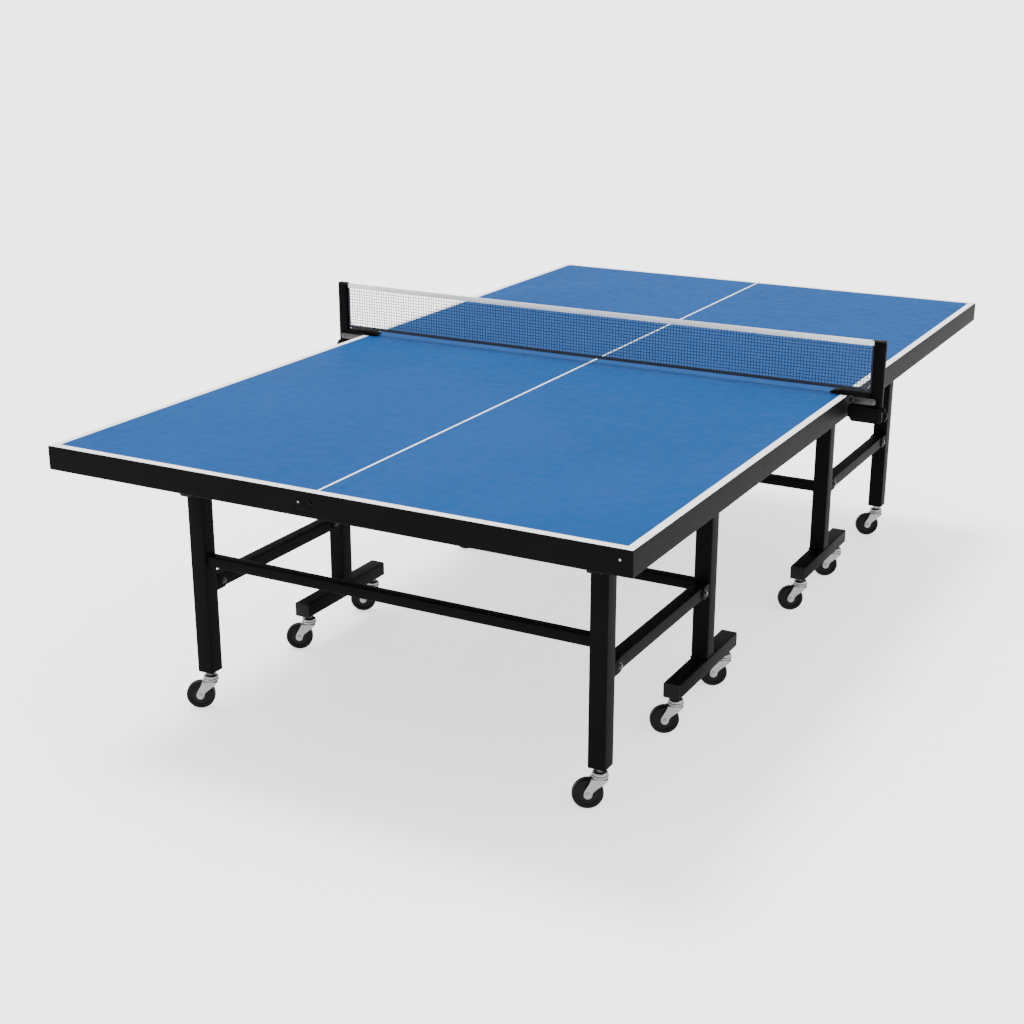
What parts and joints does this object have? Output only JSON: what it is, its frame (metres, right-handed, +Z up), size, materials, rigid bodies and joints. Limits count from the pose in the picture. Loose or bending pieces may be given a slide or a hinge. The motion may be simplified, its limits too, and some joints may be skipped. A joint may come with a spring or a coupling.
{
  "type": "ping pong table",
  "caption": "Folding ping pong table: blue top in two hinged halves with black rails, square tube legs on swivel casters, and a net on clamped posts.",
  "frame": {"origin": "on the floor, under the middle of the net", "axes": "+Z up, +Y along the table from half a to half b, +X along the net. Left and right of each half are as seen from that half's end, facing the net."},
  "size_m": [1.7366, 2.74, 0.915],
  "materials": {
    "black_paint": "satin black powder coat",
    "blue_top": "matte blue playing paint with white lines",
    "zinc": "bright zinc plate",
    "wheel_rubber": "satin black wheel",
    "netting": "dark woven netting with white top tape",
    "dark_steel": "dark steel"
  },
  "bodies": {
    "base_a": {"t_leg_a_left": "black_paint", "t_leg_a_right": "black_paint", "t_crossbar_a": "black_paint"},
    "top_a": {"tabletop_a": "blue_top", "end_apron_a": "black_paint", "side_apron_a_left": "black_paint", "side_apron_a_right": "black_paint", "hinge_rail_a_left": "black_paint", "hinge_rail_a_right": "black_paint"},
    "side_bars_a": {"side_bar_a_left": "black_paint", "side_bar_a_right": "black_paint"},
    "end_legs_a": {"end_leg_a_left": "black_paint", "end_leg_a_right": "black_paint", "end_crossbar_a": "black_paint"},
    "base_b": {"t_leg_b_left": "black_paint", "t_leg_b_right": "black_paint", "t_crossbar_b": "black_paint"},
    "top_b": {"tabletop_b": "blue_top", "end_apron_b": "black_paint", "side_apron_b_left": "black_paint", "side_apron_b_right": "black_paint", "hinge_rail_b_left": "black_paint", "hinge_rail_b_right": "black_paint"},
    "side_bars_b": {"side_bar_b_left": "black_paint", "side_bar_b_right": "black_paint"},
    "end_legs_b": {"end_leg_b_left": "black_paint", "end_leg_b_right": "black_paint", "end_crossbar_b": "black_paint"},
    "net_set": {"net": "netting", "net_post_left": "black_paint", "net_post_right": "black_paint", "clamp_left": "black_paint", "clamp_right": "black_paint"},
    "release_latch": {"release_latch": "dark_steel"},
    "clamp_lever_left": {"clamp_lever_left": "dark_steel"},
    "clamp_lever_right": {"clamp_lever_right": "dark_steel"},
    "fork_a_left_end": {"caster_fork_a_left_end": "zinc"},
    "wheel_a_left_end": {"caster_wheel_a_left_end": "wheel_rubber"},
    "fork_a_left_outer": {"caster_fork_a_left_outer": "zinc"},
    "wheel_a_left_outer": {"caster_wheel_a_left_outer": "wheel_rubber"},
    "fork_a_left_inner": {"caster_fork_a_left_inner": "zinc"},
    "wheel_a_left_inner": {"caster_wheel_a_left_inner": "wheel_rubber"},
    "fork_a_right_end": {"caster_fork_a_right_end": "zinc"},
    "wheel_a_right_end": {"caster_wheel_a_right_end": "wheel_rubber"},
    "fork_a_right_outer": {"caster_fork_a_right_outer": "zinc"},
    "wheel_a_right_outer": {"caster_wheel_a_right_outer": "wheel_rubber"},
    "fork_a_right_inner": {"caster_fork_a_right_inner": "zinc"},
    "wheel_a_right_inner": {"caster_wheel_a_right_inner": "wheel_rubber"},
    "fork_b_left_end": {"caster_fork_b_left_end": "zinc"},
    "wheel_b_left_end": {"caster_wheel_b_left_end": "wheel_rubber"},
    "fork_b_left_outer": {"caster_fork_b_left_outer": "zinc"},
    "wheel_b_left_outer": {"caster_wheel_b_left_outer": "wheel_rubber"},
    "fork_b_left_inner": {"caster_fork_b_left_inner": "zinc"},
    "wheel_b_left_inner": {"caster_wheel_b_left_inner": "wheel_rubber"},
    "fork_b_right_end": {"caster_fork_b_right_end": "zinc"},
    "wheel_b_right_end": {"caster_wheel_b_right_end": "wheel_rubber"},
    "fork_b_right_outer": {"caster_fork_b_right_outer": "zinc"},
    "wheel_b_right_outer": {"caster_wheel_b_right_outer": "wheel_rubber"},
    "fork_b_right_inner": {"caster_fork_b_right_inner": "zinc"},
    "wheel_b_right_inner": {"caster_wheel_b_right_inner": "wheel_rubber"}
  },
  "joints": [
    {"name": "fold_a", "type": "hinge", "parent": "base_a", "child": "top_a", "pos_m": [0, -0.445, 0.73], "axis": [-1, 0, 0], "range_deg": [0, 90]},
    {"name": "fold_b", "type": "hinge", "parent": "base_b", "child": "top_b", "pos_m": [0, 0.445, 0.73], "axis": [1, 0, 0], "range_deg": [0, 90]},
    {"name": "side_bars_turn_a", "type": "hinge", "parent": "base_a", "child": "side_bars_a", "pos_m": [0, -0.515, 0.34], "axis": [-1, 0, 0], "range_deg": [0, 90]},
    {"name": "end_legs_turn_a", "type": "hinge", "parent": "top_a", "child": "end_legs_a", "pos_m": [0, -0.953, 0.73], "axis": [-1, 0, 0], "range_deg": [-90, 0]},
    {"name": "side_bars_turn_b", "type": "hinge", "parent": "base_b", "child": "side_bars_b", "pos_m": [0, 0.515, 0.34], "axis": [1, 0, 0], "range_deg": [0, 90]},
    {"name": "end_legs_turn_b", "type": "hinge", "parent": "top_b", "child": "end_legs_b", "pos_m": [0, 0.953, 0.73], "axis": [1, 0, 0], "range_deg": [-90, 0]},
    {"name": "halves_apart", "type": "slide", "parent": "base_a", "child": "base_b", "axis": [0, 1, 0], "range_m": [0, 0.6]},
    {"name": "net_lift_off", "type": "slide", "parent": "base_a", "child": "net_set", "axis": [0, 0, 1], "range_m": [0, 0.25]},
    {"name": "latch_pull", "type": "hinge", "parent": "top_a", "child": "release_latch", "pos_m": [-0.025, -1.368, 0.7345], "axis": [-1, 0, 0], "range_deg": [0, 60]},
    {"name": "clamp_lever_left_flip", "type": "hinge", "parent": "net_set", "child": "clamp_lever_left", "pos_m": [-0.8575, 0, 0.73], "axis": [0, 1, 0], "range_deg": [0, 75]},
    {"name": "clamp_lever_right_flip", "type": "hinge", "parent": "net_set", "child": "clamp_lever_right", "pos_m": [0.8575, 0, 0.73], "axis": [0, -1, 0], "range_deg": [0, 75]},
    {"name": "swivel_a_left_end", "type": "hinge", "parent": "end_legs_a", "child": "fork_a_left_end", "pos_m": [-0.56, -1.073, 0.085], "axis": [0, 0, 1], "continuous": true},
    {"name": "roll_a_left_end", "type": "hinge", "parent": "fork_a_left_end", "child": "wheel_a_left_end", "pos_m": [-0.58449, -1.08658, 0.0375], "axis": [0.4848, -0.8746, 0], "continuous": true},
    {"name": "swivel_a_left_outer", "type": "hinge", "parent": "base_a", "child": "fork_a_left_outer", "pos_m": [-0.56, -0.633, 0.085], "axis": [0, 0, 1], "continuous": true},
    {"name": "roll_a_left_outer", "type": "hinge", "parent": "fork_a_left_outer", "child": "wheel_a_left_outer", "pos_m": [-0.58449, -0.64658, 0.0375], "axis": [0.4848, -0.8746, 0], "continuous": true},
    {"name": "swivel_a_left_inner", "type": "hinge", "parent": "base_a", "child": "fork_a_left_inner", "pos_m": [-0.56, -0.307, 0.085], "axis": [0, 0, 1], "continuous": true},
    {"name": "roll_a_left_inner", "type": "hinge", "parent": "fork_a_left_inner", "child": "wheel_a_left_inner", "pos_m": [-0.58449, -0.32057, 0.0375], "axis": [0.4848, -0.8746, 0], "continuous": true},
    {"name": "swivel_a_right_end", "type": "hinge", "parent": "end_legs_a", "child": "fork_a_right_end", "pos_m": [0.56, -1.073, 0.085], "axis": [0, 0, 1], "continuous": true},
    {"name": "roll_a_right_end", "type": "hinge", "parent": "fork_a_right_end", "child": "wheel_a_right_end", "pos_m": [0.53551, -1.08658, 0.0375], "axis": [0.4848, -0.8746, 0], "continuous": true},
    {"name": "swivel_a_right_outer", "type": "hinge", "parent": "base_a", "child": "fork_a_right_outer", "pos_m": [0.56, -0.633, 0.085], "axis": [0, 0, 1], "continuous": true},
    {"name": "roll_a_right_outer", "type": "hinge", "parent": "fork_a_right_outer", "child": "wheel_a_right_outer", "pos_m": [0.53551, -0.64658, 0.0375], "axis": [0.4848, -0.8746, 0], "continuous": true},
    {"name": "swivel_a_right_inner", "type": "hinge", "parent": "base_a", "child": "fork_a_right_inner", "pos_m": [0.56, -0.307, 0.085], "axis": [0, 0, 1], "continuous": true},
    {"name": "roll_a_right_inner", "type": "hinge", "parent": "fork_a_right_inner", "child": "wheel_a_right_inner", "pos_m": [0.53551, -0.32057, 0.0375], "axis": [0.4848, -0.8746, 0], "continuous": true},
    {"name": "swivel_b_left_end", "type": "hinge", "parent": "end_legs_b", "child": "fork_b_left_end", "pos_m": [0.56, 1.073, 0.085], "axis": [0, 0, 1], "continuous": true},
    {"name": "roll_b_left_end", "type": "hinge", "parent": "fork_b_left_end", "child": "wheel_b_left_end", "pos_m": [0.53551, 1.05943, 0.0375], "axis": [0.4848, -0.8746, 0], "continuous": true},
    {"name": "swivel_b_left_outer", "type": "hinge", "parent": "base_b", "child": "fork_b_left_outer", "pos_m": [0.56, 0.633, 0.085], "axis": [0, 0, 1], "continuous": true},
    {"name": "roll_b_left_outer", "type": "hinge", "parent": "fork_b_left_outer", "child": "wheel_b_left_outer", "pos_m": [0.53551, 0.61943, 0.0375], "axis": [0.4848, -0.8746, 0], "continuous": true},
    {"name": "swivel_b_left_inner", "type": "hinge", "parent": "base_b", "child": "fork_b_left_inner", "pos_m": [0.56, 0.307, 0.085], "axis": [0, 0, 1], "continuous": true},
    {"name": "roll_b_left_inner", "type": "hinge", "parent": "fork_b_left_inner", "child": "wheel_b_left_inner", "pos_m": [0.53551, 0.29342, 0.0375], "axis": [0.4848, -0.8746, 0], "continuous": true},
    {"name": "swivel_b_right_end", "type": "hinge", "parent": "end_legs_b", "child": "fork_b_right_end", "pos_m": [-0.56, 1.073, 0.085], "axis": [0, 0, 1], "continuous": true},
    {"name": "roll_b_right_end", "type": "hinge", "parent": "fork_b_right_end", "child": "wheel_b_right_end", "pos_m": [-0.58449, 1.05943, 0.0375], "axis": [0.4848, -0.8746, 0], "continuous": true},
    {"name": "swivel_b_right_outer", "type": "hinge", "parent": "base_b", "child": "fork_b_right_outer", "pos_m": [-0.56, 0.633, 0.085], "axis": [0, 0, 1], "continuous": true},
    {"name": "roll_b_right_outer", "type": "hinge", "parent": "fork_b_right_outer", "child": "wheel_b_right_outer", "pos_m": [-0.58449, 0.61943, 0.0375], "axis": [0.4848, -0.8746, 0], "continuous": true},
    {"name": "swivel_b_right_inner", "type": "hinge", "parent": "base_b", "child": "fork_b_right_inner", "pos_m": [-0.56, 0.307, 0.085], "axis": [0, 0, 1], "continuous": true},
    {"name": "roll_b_right_inner", "type": "hinge", "parent": "fork_b_right_inner", "child": "wheel_b_right_inner", "pos_m": [-0.58449, 0.29342, 0.0375], "axis": [0.4848, -0.8746, 0], "continuous": true}
  ],
  "couplings": [
    {"joint": "side_bars_turn_a", "follows": "fold_a", "ratio": 1},
    {"joint": "end_legs_turn_a", "follows": "fold_a", "ratio": -1},
    {"joint": "side_bars_turn_b", "follows": "fold_b", "ratio": 1},
    {"joint": "end_legs_turn_b", "follows": "fold_b", "ratio": -1}
  ]
}
